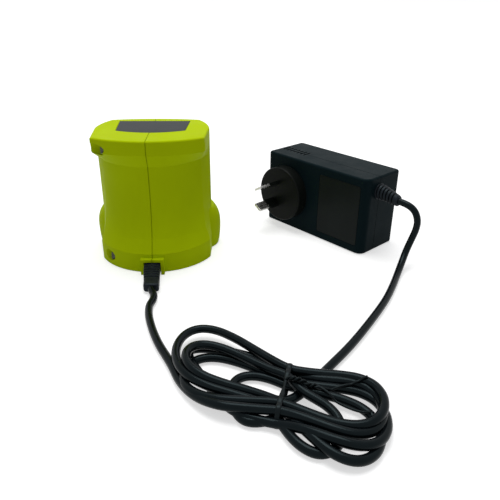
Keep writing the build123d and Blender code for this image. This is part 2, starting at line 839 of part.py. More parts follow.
inner_flange = lead_wall - 1.5
output_leads = Compound(
    children=[
        wire(
            wire_radius,
            1.2,
            case_point(inner_flange, case_seam - 2.2, relief_middle + offset_z),
            case_point(circuit_length - 4.0, case_seam - 2.2, relief_middle + offset_z),
            case_point(circuit_length - 4.0, circuit_face, relief_middle + offset_z),
        )
        for offset_z in (-1.4, 1.4)
    ]
)

with BuildPart() as adaptor_strain_relief:
    with BuildSketch(lead_end(inner_flange, case_seam, relief_middle)):
        Circle(relief_neck + 1.2)
    extrude(amount=1.4)
    with BuildSketch(lead_end(inner_flange + 1.4, case_seam, relief_middle)):
        Circle(relief_neck)
    extrude(amount=case_length - inner_flange - 1.3)
    with BuildSketch(lead_end(case_length + 0.1, case_seam, relief_middle)):
        Circle(adaptor_relief_radius - 0.5)
    with BuildSketch(
        lead_end(case_length + adaptor_relief_length, case_seam, relief_middle - adaptor_relief_droop)
    ):
        Circle(adaptor_relief_tip)
    loft()
    ring_pitch = 0.8 * adaptor_relief_length / adaptor_relief_ribs
    for i in range(adaptor_relief_ribs):
        ring_start = 0.3 + i * ring_pitch
        ring_share = ring_start / adaptor_relief_length
        ring_height = relief_middle - ring_share * adaptor_relief_droop
        with BuildSketch(lead_end(case_length + ring_start, case_seam, ring_height)):
            Circle(adaptor_relief_radius + ring_share * (adaptor_relief_tip - adaptor_relief_radius))
        extrude(amount=0.55 * ring_pitch)

# ================================================================ cord
cradle_exit = Vector(relief_sway, relief_end, relief_tip_axis)
adaptor_exit = case_point(
    case_length + adaptor_relief_length, case_seam, relief_middle - adaptor_relief_droop
)

# Each route is a list of corners, from the strain relief to a point inside the hank.
cradle_lead_route = (
    cradle_exit,
    cradle_exit - Vector(0, 5.5, 0),
    (3.2, -79.6, cord_rest),
    (3.1, -87.0, cord_rest),
    (4.2, -94.6, cord_rest),
    (6.5, -102.6, cord_rest),
    (9.4, -111.2, cord_rest),
    (13.0, -119.8, cord_rest),
    (17.3, -128.4, cord_rest),
    (22.8, -136.8, cord_rest),
)
adaptor_lead_route = (
    adaptor_exit,
    adaptor_exit + along_case * 5.5,
    (158.0, -34.6, 36.0),
    (160.0, -36.5, 30.2),
    (159.8, -36.0, 23.8),
    (158.0, -35.6, 17.2),
    (155.2, -37.3, 10.6),
    (151.2, -43.6, 5.1),
    (146.2, -53.0, cord_rest),
    (139.8, -66.6, cord_rest),
    (131.6, -82.2, cord_rest),
    (118.6, -102.0, cord_rest),
    (104.4, -122.2, cord_rest),
    (90.8, -138.4, cord_rest),
    (80.6, -149.6, cord_rest),
)


def cord_tube(route):
    """A length of cord along straight runs, joined by arcs as large as the runs allow."""
    corners = [Vector(*point) for point in route]
    radii = []
    for before, corner, after in zip(corners, corners[1:], corners[2:]):
        turn = (corner - before).get_angle(after - corner)
        shorter_run = min((corner - before).length, (after - corner).length)
        radii.append(bend_share * shorter_run / tan(radians(turn / 2)))
    with BuildPart() as tube:
        with BuildLine() as path:
            FilletPolyline(*corners, radius=radii)
        with BuildSketch(Plane(origin=path.line @ 0, z_dir=path.line % 0)):
            Circle(cord_radius)
        sweep()
    length = sum(edge.length for edge in path.edges())
    fullness = tube.part.volume / (pi * cord_radius**2 * length)
    print("bend radii", [round(radius, 1) for radius in radii])
    print("length", round(length, 1), "volume over section times length", round(fullness, 4))
    return tube.part


cord_cradle_lead = cord_tube(cradle_lead_route)
cord_adaptor_lead = cord_tube(adaptor_lead_route)

# The wound middle of the cord as one flat bundle: two lobes pinched together by the tie.
hank_outline_points = (
    (77.0, -146.2),
    (61.0, -131.6),
    (47.5, -117.8),
    (37.0, -109.7),
    (27.5, -108.8),
    (19.8, -117.0),
    (19.2, -131.0),
    (24.5, -149.0),
    (34.0, -162.4),
    (50.0, -171.6),
    (64.0, -176.4),
    (74.0, -187.4),
    (85.0, -194.6),
    (96.0, -196.4),
    (105.2, -188.4),
    (111.2, -171.0),
    (111.0, -155.4),
    (99.5, -147.6),
)
tie_start = Vector(*tie_from)
tie_line = Vector(*tie_to) - tie_start
across_hank = Plane(
    origin=tie_start + tie_line / 2 + up * hank_height / 2,
    x_dir=tie_line,
    z_dir=tie_line.cross(up),
)

with BuildPart() as hank_form:
    with BuildSketch():
        with BuildLine():
            Spline(*hank_outline_points, periodic=True)
        make_face()
    extrude(amount=hank_height)
    fillet(hank_form.faces().sort_by(Axis.Z)[-1].edges(), hank_edge)
    fillet(hank_form.faces().sort_by(Axis.Z)[0].edges(), hank_edge)

with BuildPart() as tie_slab:
    with BuildSketch(across_hank):
        Rectangle(2 * tie_line.length, 4 * hank_height)
    extrude(amount=tie_width / 2, both=True)

with BuildPart() as tie_core:
    # What is left of the bundle inside the tie's loop.
    add(hank_form.part)
    add(tie_slab.part, mode=Mode.INTERSECT)
    core_width = tie_core.part.bounding_box().size.Y - 2 * tie_thickness
    with BuildSketch(across_hank.offset(-tie_width)):
        RectangleRounded(core_width, hank_height - 2 * tie_thickness, hank_edge - tie_thickness / 2)
    extrude(amount=2 * tie_width, mode=Mode.INTERSECT)

with BuildPart() as tie_loop:
    add(hank_form.part)
    add(tie_slab.part, mode=Mode.INTERSECT)
    add(tie_core.part, mode=Mode.SUBTRACT)

with BuildPart() as cord_hank:
    add(hank_form.part)
    add(tie_loop.part, mode=Mode.SUBTRACT)

# The tie's ends are twisted together on top of the bundle and spread into two tails.
twist_height = hank_height + tie_wire + tie_gap
twist_start = tie_start + tie_line * twist_share + up * twist_height
twist_end = Vector(*twist_to, twist_height)

with BuildPart() as cord_tie:
    add(tie_loop.part)
    with BuildSketch(Plane(origin=twist_start)):
        Circle(tie_width / 2)
    extrude(amount=-tie_wire - tie_gap - tie_thickness / 2)
    for start, end in (
        (twist_start, twist_end),
        (twist_end, Vector(*tail_tips[0], twist_height)),
        (twist_end, Vector(*tail_tips[1], twist_height)),
    ):
        with BuildSketch(Plane(origin=start, z_dir=end - start)):
            Circle(tie_wire)
        extrude(amount=(end - start).length)

# ================================================================ write every piece
pieces = {
    "cradle_left_shell": cradle_left_shell.part,
    "cradle_right_shell": cradle_right_shell.part,
    "cradle_screws": cradle_screws.part,
    "pocket_liner": pocket_liner.part,
    "terminal_block": terminal_block.part,
    "contact_negative": contact_negative,
    "contact_sense": contact_sense,
    "contact_positive": contact_positive,
    "contact_lugs": contact_lugs.part,
    "charge_board": charge_board.part,
    "board_capacitor": board_capacitor,
    "control_chip": control_chip,
    "power_transistor": power_transistor,
    "board_diodes": board_diodes,
    "contact_leads": contact_leads,
    "supply_leads": supply_leads,
    "cradle_label": cradle_label.part,
    "cradle_strain_relief": cradle_strain_relief.part,
    "adaptor_front_shell": adaptor_front_shell.part,
    "adaptor_back_shell": adaptor_back_shell.part,
    "rating_patch": rating_patch.part,
    "plug_insert": plug_insert.part,
    "adaptor_board": adaptor_board.part,
    "mains_fuse": mains_fuse,
    "bridge_rectifier": bridge_rectifier,
    "bulk_capacitor": bulk_capacitor,
    "switch_transistor": switch_transistor.part,
    "heat_sink": heat_sink.part,
    "transformer_core": transformer_core.part,
    "transformer_winding": transformer_winding.part,
    "output_choke": output_choke,
    "output_capacitors": output_capacitors,
    "mains_leads": mains_leads.part,
    "output_leads": output_leads,
    "adaptor_strain_relief": adaptor_strain_relief.part,
    "cord_cradle_lead": cord_cradle_lead,
    "cord_adaptor_lead": cord_adaptor_lead,
    "cord_hank": cord_hank.part,
    "cord_tie": cord_tie.part,
}
for name, sign in zip(pin_names, pin_signs):
    pieces["plug_pin_" + name] = pin_blade(sign)
    pieces["pin_sleeve_" + name] = pin_sleeve(sign)

for name, piece in pieces.items():
    piece.label = name
    export_step(piece, "parts/" + name + ".step")
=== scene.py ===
# %% [markdown]
# # The looks of a battery charger and its plug-in adaptor
#
# The charger is a lime plastic cradle that drops over the stem of a battery pack. A black lead runs
# from its foot to a plug-in adaptor, and the spare lead is folded into a hank held by a wire tie.
# The solid parts come from the construction model, in metres, with +Z up and the origin on the table.
# This lesson gives them their finishes and makes the parts that are soft: the lead, the tie and the
# two sleeves that the lead leaves through.

# %% Load the frame
import math

import bmesh
import bpy
import numpy as np
from mathutils import Matrix


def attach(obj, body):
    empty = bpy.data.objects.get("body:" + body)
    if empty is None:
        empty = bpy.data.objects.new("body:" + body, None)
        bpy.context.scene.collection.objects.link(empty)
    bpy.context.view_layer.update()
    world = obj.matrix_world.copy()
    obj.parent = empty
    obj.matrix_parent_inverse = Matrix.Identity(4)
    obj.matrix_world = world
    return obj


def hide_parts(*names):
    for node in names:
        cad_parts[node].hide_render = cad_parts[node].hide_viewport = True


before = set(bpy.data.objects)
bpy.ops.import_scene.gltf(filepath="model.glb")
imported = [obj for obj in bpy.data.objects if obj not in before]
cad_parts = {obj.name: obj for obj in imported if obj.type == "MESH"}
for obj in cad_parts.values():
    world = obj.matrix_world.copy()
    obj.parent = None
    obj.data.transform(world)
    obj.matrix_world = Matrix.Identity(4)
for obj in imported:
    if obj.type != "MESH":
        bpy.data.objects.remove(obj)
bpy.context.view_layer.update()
mm = 0.001

# %% [markdown]
# ## The camera
#
# A camera is a place and three directions. Its matrix holds, as columns, what is to its right, what
# is up and what is behind it. Writing the matrix is safer than three angles, because nothing depends
# on the order of the turns. The lens is 39 mm on a 36 mm sensor, a little longer than a wide angle.

# %% Place the camera
camera_place = (0.047305, -0.335032, 0.160840)
camera_right = (0.99937, -0.03488, 0.00703)
camera_up = (0.00932, 0.44709, 0.89444)
camera_back = (-0.03434, -0.89381, 0.44713)


def stand_at(place, right, up, back):
    """A matrix with the three directions and the place as its columns."""
    columns = [(*right, 0.0), (*up, 0.0), (*back, 0.0), (*place, 1.0)]
    return Matrix(np.column_stack(columns).tolist())


lens = bpy.data.cameras.new("camera")
lens.sensor_width = 36.0
lens.lens = 39.305
lens.clip_start = 0.01
lens.clip_end = 20.0
camera = bpy.data.objects.new("camera", lens)
bpy.context.scene.collection.objects.link(camera)
camera.matrix_world = stand_at(camera_place, camera_right, camera_up, camera_back)
bpy.context.scene.camera = camera
bpy.context.scene.view_settings.view_transform = "Standard"
print("camera at", tuple(camera.location))

# %% [markdown]
# ## Small tools for node materials
#
# A material is a graph. A few helpers keep the recipes short. The first adds a node and sets its
# sockets. Another adds noise that follows the piece itself, so the grain never slides when the piece
# or the camera moves. Object coordinates are in metres, so a grain of half a millimetre is a noise
# of scale 2000. The rest stretch a noise over a range, mix two colours and start a material.


# %% Node helpers
def add_node(tree, kind, inputs=None, **settings):
    """Adds a node, sets its settings, and links or sets each named input."""
    made = tree.nodes.new(kind)
    for name, value in settings.items():
        setattr(made, name, value)
    for name, value in (inputs or {}).items():
        if isinstance(value, bpy.types.NodeSocket):
            tree.links.new(value, made.inputs[name])
        else:
            made.inputs[name].default_value = value
    return made


# %% Noise
grain_roughness = 0.55


def object_place(tree):
    """Each point's place on its own piece, in metres."""
    return add_node(tree, "ShaderNodeTexCoord").outputs["Object"]


def grain(tree, size, detail=3.0):
    """Noise from 0 to 1 whose grains are about `size` metres across."""
    noise = add_node(
        tree,
        "ShaderNodeTexNoise",
        {
            "Vector": object_place(tree),
            "Scale": 1.0 / size,
            "Detail": detail,
            "Roughness": grain_roughness,
        },
    )
    return noise.outputs["Fac"]


def spread(tree, value, low, high, start=0.3, end=0.7):
    """Maps a value between `start` and `end` evenly onto the range low to high."""
    ranged = add_node(
        tree,
        "ShaderNodeMapRange",
        {"Value": value, "From Min": start, "From Max": end, "To Min": low, "To Max": high},
    )
    return ranged.outputs["Result"]


# %% Colours and materials
# a Mix node has sockets for every kind of data, and these are the ones for colours
mix_share, mix_first, mix_second, mix_result = 0, 6, 7, 2


def blend_colours(tree, share, first, second):
    """A colour between the first and the second, by share."""
    mix = add_node(tree, "ShaderNodeMix", data_type="RGBA")
    for socket, value in zip((mix.inputs[mix_first], mix.inputs[mix_second]), (first, second)):
        if isinstance(value, bpy.types.NodeSocket):
            tree.links.new(value, socket)
        else:
            socket.default_value = (*value, 1.0)
    tree.links.new(share, mix.inputs[mix_share])
    return mix.outputs[mix_result]


def new_material(name):
    """A new node material, with its tree and its shader, ready for links."""
    material = bpy.data.materials.new(name)
    material.use_nodes = True
    return material, material.node_tree, material.node_tree.nodes["Principled BSDF"]


def shade(colour, factor):
    """The same colour, darker or lighter."""
    return tuple(min(1.0, channel * factor) for channel in colour)


# %% [markdown]
# ## The studio
#
# The object stands on a plain pale floor. A wide soft lamp hangs above and slightly behind it, so
# upward faces are bright, the front is shaded and the edge between them reads clearly. The sky adds
# a weak even fill. A ray that comes straight from the camera, or by way of a mirror or glass, sees a
# white sky and a floor with a glow added to it, so that the floor is white and keeps its shadows. The
# glow grows with distance, because the lamp's own light fades there. Other rays see neither the white
# sky nor the glow, so the brightness of the background doesn't wash out the object.

# %% World
sky_fill = 0.31
sky_colour = (0.97, 0.98, 1.0, 1.0)
white_colour = (1.0, 1.0, 1.0, 1.0)
world = bpy.data.worlds.new("studio")
world.use_nodes = True
bpy.context.scene.world = world
sky = world.node_tree
sky.nodes.clear()


def combine(tree, operation, first, second, clamp=False):
    """One number worked out from two."""
    inputs = {0: first, 1: second}
    made = add_node(tree, "ShaderNodeMath", inputs, operation=operation, use_clamp=clamp)
    return made.outputs[0]


def seen_directly(tree):
    """1 for a ray from the camera, a mirror or glass, and 0 for every other ray."""
    path = add_node(tree, "ShaderNodeLightPath").outputs
    straight = combine(tree, "ADD", path["Is Camera Ray"], path["Is Glossy Ray"])
    return combine(tree, "ADD", straight, path["Is Transmission Ray"], clamp=True)


fill = add_node(sky, "ShaderNodeBackground", {"Color": sky_colour, "Strength": sky_fill})
white = add_node(sky, "ShaderNodeBackground", {"Color": white_colour, "Strength": 1.0})
choice = add_node(
    sky,
    "ShaderNodeMixShader",
    {0: seen_directly(sky), 1: fill.outputs["Background"], 2: white.outputs["Background"]},
)
add_node(sky, "ShaderNodeOutputWorld", {"Surface": choice.outputs[0]})
print("sky fill", sky_fill)

# %% Floor
floor_half = 4.0
floor_drop = 0.0002
floor_mesh = bpy.data.meshes.new("floor")
corners = ((-1, -1), (1, -1), (1, 1), (-1, 1))
floor_mesh.from_pydata(
    [(x * floor_half, y * floor_half, -floor_drop) for x, y in corners], [], [(0, 1, 2, 3)]
)
floor = bpy.data.objects.new("floor", floor_mesh)
bpy.context.scene.collection.objects.link(floor)

paper_roughness = 0.9
floor_bounce = 0.70
glow_near = 0.58
glow_far = 0.90
glow_starts = 0.22
glow_ends = 0.80
paper, paper_tree, paper_shader = new_material("floor_paper")
paper_shader.inputs["Base Color"].default_value = (floor_bounce, floor_bounce, floor_bounce, 1.0)
paper_shader.inputs["Roughness"].default_value = paper_roughness
paper_shader.inputs["Specular IOR Level"].default_value = 0.0
distance = add_node(
    paper_tree, "ShaderNodeVectorMath", {0: object_place(paper_tree)}, operation="LENGTH"
)
far_share = spread(
    paper_tree, distance.outputs["Value"], glow_near, glow_far, glow_starts, glow_ends
)
glow = combine(paper_tree, "MULTIPLY", seen_directly(paper_tree), far_share)
paper_light = add_node(paper_tree, "ShaderNodeEmission", {"Strength": glow})
both = add_node(
    paper_tree, "ShaderNodeAddShader", {0: paper_shader.outputs[0], 1: paper_light.outputs[0]}
)
paper_out = paper_tree.nodes["Material Output"]
paper_tree.links.new(both.outputs[0], paper_out.inputs["Surface"])
floor_mesh.materials.append(paper)
print("floor", floor_half * 2, "m wide")

# %% Lamp
lamp_place = (0.02, 0.13, 0.95)
lamp_aim = (0.06, -0.04, 0.0)
lamp_size = 0.6
lamp_power = 6.4
lamp_data = bpy.data.lights.new("softbox", "AREA")
lamp_data.shape = "SQUARE"
lamp_data.size = lamp_size
lamp_data.energy = lamp_power
lamp = bpy.data.objects.new("softbox", lamp_data)
bpy.context.scene.collection.objects.link(lamp)
away = np.array(lamp_place) - np.array(lamp_aim)
away = away / np.linalg.norm(away)
side = np.cross((0.0, 1.0, 0.0), away)
side = side / np.linalg.norm(side)
lamp.matrix_world = stand_at(lamp_place, side, np.cross(away, side), away)
print("lamp", lamp_power, "W")

# %% [markdown]
# ## Surfaces from numpy
#
# Every new piece below is a closed skin worked out as a grid of points: one direction runs along a
# path, the other runs round a ring. The ring's shape may change along the path, which gives ribs,
# tapers and beads. Whole arrays are computed at once, then handed to the mesh. The two ends are
# closed with a fan of triangles, because an open pipe shows its inside and prints badly.


# %% Mesh helpers
def make_piece(name, points, faces, material, body="root"):
    """Puts points and faces into a new smooth piece at the origin, which rides a body."""
    mesh = bpy.data.meshes.new(name)
    mesh.from_pydata(points.tolist(), [], faces)
    mesh.validate()
    skin = bmesh.new()
    skin.from_mesh(mesh)
    bmesh.ops.recalc_face_normals(skin, faces=skin.faces)
    skin.to_mesh(mesh)
    skin.free()
    mesh.shade_smooth()
    mesh.materials.append(material)
    piece = bpy.data.objects.new(name, mesh)
    bpy.context.scene.collection.objects.link(piece)
    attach(piece, body)
    print(name, len(points), "points,", len(faces), "faces")
    return piece


def mark_grooves(piece, depth):
    """Stores how deep in a groove each point lies, 0 to 1, as the mask for painted shade.

    The points that close the ends get 0.
    """
    groove = piece.data.attributes.new("groove", "FLOAT", "POINT")
    ends = np.zeros(len(groove.data) - len(depth))
    groove.data.foreach_set("value", np.r_[depth, ends])


# %% Pipe
def pipe(path, wide, high, ring, squareness=1.0, up=(0.0, 0.0, 1.0), swell=1.0, heading=None):
    """A ring of `ring` points carried along a path, closed at both ends.

    Each ring point is the path point, plus wide * cos(angle) along the side, plus high * sin(angle)
    along the top. The side is square to the path and to `up`. A squareness under 1 raises cosine and
    sine to a smaller power, which turns the oval into a rounded rectangle. Swell multiplies each
    point's distance from the path, for grooves. Heading keeps all rings parallel. Returns points and
    faces.
    """
    path = np.asarray(path, float)
    count = len(path)
    if heading is None:
        along = np.gradient(path, axis=0)
    else:
        along = np.tile(np.asarray(heading, float), (count, 1))
    along /= np.linalg.norm(along, axis=1, keepdims=True)
    sideways = np.cross(along, np.broadcast_to(np.asarray(up, float), path.shape))
    sideways /= np.linalg.norm(sideways, axis=1, keepdims=True)
    upward = np.cross(sideways, along)
    angle = np.linspace(0.0, 2.0 * math.pi, ring, endpoint=False)
    flat = np.sign(np.cos(angle)) * np.abs(np.cos(angle)) ** squareness
    tall = np.sign(np.sin(angle)) * np.abs(np.sin(angle)) ** squareness
    wide = np.broadcast_to(wide, count)[:, None, None]
    high = np.broadcast_to(high, count)[:, None, None]
    level = wide * flat[None, :, None] * sideways[:, None, :]
    upright = high * tall[None, :, None] * upward[:, None, :]
    growth = np.broadcast_to(swell, (count, ring))[:, :, None]
    skin = path[:, None, :] + (level + upright) * growth
    row = np.arange(count - 1)[:, None] * ring
    column = np.arange(ring)[None, :]
    following = (column + 1) % ring
    next_row = row + ring
    quads = np.broadcast_arrays(
        row + column, row + following, next_row + following, next_row + column
    )
    quads = np.stack(quads, -1).reshape(-1, 4)
    points = np.vstack([skin.reshape(-1, 3), path[:1], path[-1:]])
    edge = np.arange(ring)
    neighbour = (edge + 1) % ring
    last_row = (count - 1) * ring
    first = np.stack([np.full(ring, count * ring), neighbour, edge], 1)
    last = np.stack([np.full(ring, count * ring + 1), last_row + edge, last_row + neighbour], 1)
    return points, quads.tolist() + first.tolist() + last.tolist()


# %% Joined skins and smooth lines
def join_skins(*skins):
    """Several closed skins as one list of points and one of faces."""
    points, faces, start = [], [], 0
    for some_points, some_faces in skins:
        points.append(some_points)
        faces.extend([index + start for index in face] for face in some_faces)
        start += len(some_points)
    return np.vstack(points), faces


def ease(share):
    """0 to 1 with a soft start and a soft end: three squares less two cubes."""
    share = np.clip(share, 0.0, 1.0)
    return share * share * (3.0 - 2.0 * share)


def through(stops, count):
    """`count` points on a smooth line through the stops.

    Between two stops the line is a cubic. Its slope at a stop is half the step from the stop before
    to the stop after.
    """
    stops = np.asarray(stops, float)
    ends = np.vstack([2 * stops[0] - stops[1], stops, 2 * stops[-1] - stops[-2]])
    where = np.linspace(0.0, len(stops) - 1.0, count)
    leg = np.minimum(where.astype(int), len(stops) - 2)
    t = (where - leg)[:, None]
    a, b, c, d = ends[leg], ends[leg + 1], ends[leg + 2], ends[leg + 3]
    square = 2 * a - 5 * b + 4 * c - d
    cube = 3 * b - a - 3 * c + d
    return 0.5 * (2 * b + (c - a) * t + square * t**2 + cube * t**3)


# %% [markdown]
# ## Finishes
#
# The cradle is moulded in lime plastic with a fine spark texture. Up close it isn't one colour: the
# pigment swims a little, handling polishes it in patches and the texture breaks the highlights. The
# recipe mixes two near shades by a slow noise, changes the roughness by another and raises a fine
# grain as bump. The bump's height is written in metres, so it stays true at any distance. A bevel
# node rounds the light on the sharp edges, as the moulding's edges are rounded. The grain could be
# modelled, but at a twentieth of a millimetre only the light shows it. The black plastics, the skins
# of cans and wires, the coil's tape and the fuse's glaze use the same recipe with other values.


# %% Bump and soft edges
bevel_rays = 4
palette = {}


def soft_edges(tree, radius):
    """A surface direction that turns gradually over every edge, as on a rounded one."""
    bevel = add_node(tree, "ShaderNodeBevel", {"Radius": radius}, samples=bevel_rays)
    return bevel.outputs["Normal"]


def raise_bump(tree, shader, height, metres, strength, base=None):
    """Tilts the shader's surface as if `height`, from 0 to 1, stood up to `metres` from it."""
    inputs = {"Height": height, "Distance": metres, "Strength": strength}
    if base is not None:
        inputs["Normal"] = base
    bump = add_node(tree, "ShaderNodeBump", inputs)
    tree.links.new(bump.outputs["Normal"], shader.inputs["Normal"])


def mix_finishes(recipe, rows):
    """Makes a material by the recipe from each row, and puts it on the palette under its name."""
    for name, row in rows.items():
        palette[name] = recipe(name, *row)
    print("on the palette:", ", ".join(rows))


# %% Moulded plastic
pigment_size = 0.030
patch_size = 0.012
patch_swing = 0.06
spark_strength = 0.5
plain_sheen = (1.0, 1.0, 1.0)
cool_sheen = (0.70, 0.95, 1.0)
lime_sheen = (1.0, 1.0, 0.1)


def moulded(name, colour, roughness, grain_size, grain_height, gloss, swim, edge, sheen):
    """Plastic from a mould: swimming pigment, polished patches, a spark grain, softened edges."""
    material, tree, shader = new_material(name)
    pigment = spread(tree, grain(tree, pigment_size, 4.0), 0.0, 1.0)
    pigmented = blend_colours(tree, pigment, shade(colour, 1.0 - swim), shade(colour, 1.0 + swim))
    tree.links.new(pigmented, shader.inputs["Base Color"])
    handled = grain(tree, patch_size, 5.0)
    patches = spread(tree, handled, roughness - patch_swing, roughness + patch_swing)
    tree.links.new(patches, shader.inputs["Roughness"])
    spark = grain(tree, grain_size, 2.0)
    raise_bump(tree, shader, spark, grain_height, spark_strength, soft_edges(tree, edge))
    shader.inputs["Specular IOR Level"].default_value = gloss
    shader.inputs["Specular Tint"].default_value = (*sheen, 1.0)
    return material


# %% Plastics: colour, roughness, grain size, grain height, gloss, swim, edge, sheen
plastic_rows = {
    "lime_plastic": ((0.47, 0.61, 0.002), 0.56, 0.0006, 0.00005, 0.03, 0.03, 0.0004, lime_sheen),
    "adaptor_black": (
        (0.0046, 0.0108, 0.0132), 0.44, 0.0005, 0.00004, 0.022, 0.15, 0.0004, cool_sheen,
    ),
    "plug_black": (
        (0.0050, 0.0062, 0.0054), 0.36, 0.0005, 0.00003, 0.05, 0.15, 0.0004, plain_sheen,
    ),
    "liner_black": ((0.022, 0.022, 0.024), 0.55, 0.0006, 0.00006, 0.3, 0.10, 0.0004, plain_sheen),
    "component_black": (
        (0.020, 0.020, 0.022), 0.6, 0.0004, 0.00003, 0.35, 0.10, 0.0004, plain_sheen,
    ),
    "ferrite_grey": ((0.055, 0.055, 0.060), 0.7, 0.0003, 0.00004, 0.4, 0.15, 0.0004, plain_sheen),
    "wire_sleeve": ((0.42, 0.028, 0.018), 0.35, 0.0008, 0.00001, 0.5, 0.06, 0.0001, plain_sheen),
    "can_sleeve": ((0.028, 0.036, 0.085), 0.3, 0.0009, 0.00001, 0.5, 0.08, 0.0002, plain_sheen),
    "coil_tape": ((0.70, 0.54, 0.07), 0.3, 0.0010, 0.00003, 0.5, 0.08, 0.0002, plain_sheen),
    "fuse_glaze": ((0.54, 0.48, 0.40), 0.25, 0.0008, 0.00002, 0.5, 0.05, 0.0002, plain_sheen),
}
mix_finishes(moulded, plastic_rows)

# %% [markdown]
# ### Printed areas left bare
#
# The cradle's roof carries a dark film, and the adaptor's face a smooth rectangle that is slightly
# glossier than the plastic round it. Both are left without any print. A film has an orange-peel
# surface: wide, very low waves. A few hairline scratches run across it, made from noise that is
# stretched a hundred times along one axis. They could be painted on a picture, but noise needs no
# file and stays fine however near the camera comes.


# %% Streaks
streak_detail = 2.0


def streaks(tree, stretch, turn=0.0):
    """Noise drawn out into streaks: its scale along each axis, after a turn about Z."""
    place = add_node(
        tree,
        "ShaderNodeMapping",
        {"Vector": object_place(tree), "Rotation": (0.0, 0.0, turn), "Scale": stretch},
    )
    noise = add_node(
        tree,
        "ShaderNodeTexNoise",
        {"Vector": place.outputs["Vector"], "Scale": 1.0, "Detail": streak_detail},
    )
    return noise.outputs["Fac"]


# %% Films
film_cloud = 0.014
film_swing = 0.15
scratch_stretch = (25.0, 2500.0, 2500.0)
scratch_starts = 0.68
scratch_ends = 0.74
scratch_light = 1.6
scratch_dulls = 0.2
peel_size = 0.0022
peel_height = 0.00006
peel_strength = 0.4


def bare_film(name, colour, roughness, gloss, scratch_turn):
    """Smooth film without print: slow orange peel and faint stretched scratches."""
    material, tree, shader = new_material(name)
    cloud = spread(tree, grain(tree, film_cloud, 4.0), 0.0, 1.0)
    tint = blend_colours(tree, cloud, shade(colour, 1.0 - film_swing), shade(colour, 1.0 + film_swing))
    hair = streaks(tree, scratch_stretch, scratch_turn)
    scratch = spread(tree, hair, 0.0, 1.0, scratch_starts, scratch_ends)
    scratched = blend_colours(tree, scratch, tint, shade(colour, scratch_light))
    tree.links.new(scratched, shader.inputs["Base Color"])
    dulled = spread(tree, scratch, roughness, roughness + scratch_dulls, 0.0, 1.0)
    tree.links.new(dulled, shader.inputs["Roughness"])
    raise_bump(tree, shader, grain(tree, peel_size, 1.0), peel_height, peel_strength)
    shader.inputs["Specular IOR Level"].default_value = gloss
    return material


# %% Two films: colour, roughness, gloss, turn of the scratches
film_rows = {
    "label_film": ((0.016, 0.020, 0.022), 0.38, 0.05, 0.6),
    "patch_film": ((0.0075, 0.0105, 0.0100), 0.34, 0.06, 0.9),
}
mix_finishes(bare_film, film_rows)

# %% [markdown]
# ### Metals
#
# The pins of the plug are nickel-plated brass, rubbed by sockets. The screws are zinc plated, the
# contacts are rolled brass and the heat sink is plain aluminium. One recipe serves them all: the
# metal's colour, a cloud of tarnish that also dulls it, and fine lines along one axis. The screws'
# colour is painted shade, far darker than zinc, because they sit deep in recesses. Real
# scratches in the mesh would catch the light in the same way, but would cost a great many faces.


# %% Metal
tarnish_size = 0.004
tarnish_starts = 0.35
tarnish_ends = 0.75
tarnish_dulls = 0.15
line_height = 0.00002
line_strength = 0.35
metal_edge = 0.0002
lines_along_x = (60.0, 1500.0, 1500.0)
lines_along_y = (1500.0, 60.0, 1500.0)
lines_along_z = (900.0, 900.0, 60.0)


def metal(name, colour, roughness, tarnish, lines):
    """Bare or plated metal: clouded tarnish and fine rubbed lines in its bump."""
    material, tree, shader = new_material(name)
    clouds = grain(tree, tarnish_size, 4.0)
    cloud = spread(tree, clouds, 0.0, 1.0, tarnish_starts, tarnish_ends)
    tint = blend_colours(tree, cloud, colour, shade(colour, 1.0 - tarnish))
    tree.links.new(tint, shader.inputs["Base Color"])
    dulled = spread(tree, cloud, roughness, roughness + tarnish_dulls, 0.0, 1.0)
    tree.links.new(dulled, shader.inputs["Roughness"])
    rubbed = streaks(tree, lines)
    raise_bump(tree, shader, rubbed, line_height, line_strength, soft_edges(tree, metal_edge))
    shader.inputs["Metallic"].default_value = 1.0
    return material


# %% Metals: colour, roughness, tarnish, lines
metal_rows = {
    "pin_nickel": ((0.72, 0.71, 0.68), 0.22, 0.25, lines_along_x),
    # painted shade: the screws sit deep in recesses, so their colour is kept far darker than zinc's
    "screw_zinc": ((0.075, 0.080, 0.065), 0.42, 0.35, lines_along_z),
    "contact_brass": ((0.74, 0.56, 0.30), 0.28, 0.3, lines_along_x),
    "sink_aluminium": ((0.66, 0.67, 0.68), 0.38, 0.15, lines_along_y),
}
mix_finishes(metal, metal_rows)

# %% [markdown]
# ### Circuit boards
#
# A board is glass cloth under green lacquer. The cloth shows as fine threads in the bump, for which
# one narrow wave is enough. Copper under the lacquer makes it lighter in straight-edged areas, for
# which a brick pattern with thin mortar gives blocks of two near shades. Tracks could be drawn one by
# one, but the boards lie inside closed cases, where nothing finer is needed.


# %% Board lacquer
copper_scale = 160.0
copper_gap = 0.012
copper_light = 1.5
gap_shade = 0.6
lacquer_cloud = 0.008
lacquer_patch = 0.004
lacquer_roughness = (0.28, 0.42)
thread_scale = 400.0
thread_waver = 0.4
thread_height = 0.00003
thread_strength = 0.3


def board_lacquer(name, colour):
    """Green lacquer over glass threads, with lighter blocks where copper lies under it."""
    material, tree, shader = new_material(name)
    place = object_place(tree)
    copper = add_node(
        tree,
        "ShaderNodeTexBrick",
        {
            "Vector": place,
            "Scale": copper_scale,
            "Mortar Size": copper_gap,
            "Color1": (*colour, 1.0),
            "Color2": (*shade(colour, copper_light), 1.0),
            "Mortar": (*shade(colour, gap_shade), 1.0),
        },
    )
    cloud = spread(tree, grain(tree, lacquer_cloud, 3.0), 0.0, 0.5)
    lacquer = blend_colours(tree, cloud, copper.outputs["Color"], colour)
    tree.links.new(lacquer, shader.inputs["Base Color"])
    patches = spread(tree, grain(tree, lacquer_patch), *lacquer_roughness)
    tree.links.new(patches, shader.inputs["Roughness"])
    threads = add_node(
        tree,
        "ShaderNodeTexWave",
        {"Vector": place, "Scale": thread_scale, "Distortion": thread_waver},
    )
    raise_bump(tree, shader, threads.outputs["Fac"], thread_height, thread_strength)
    return material


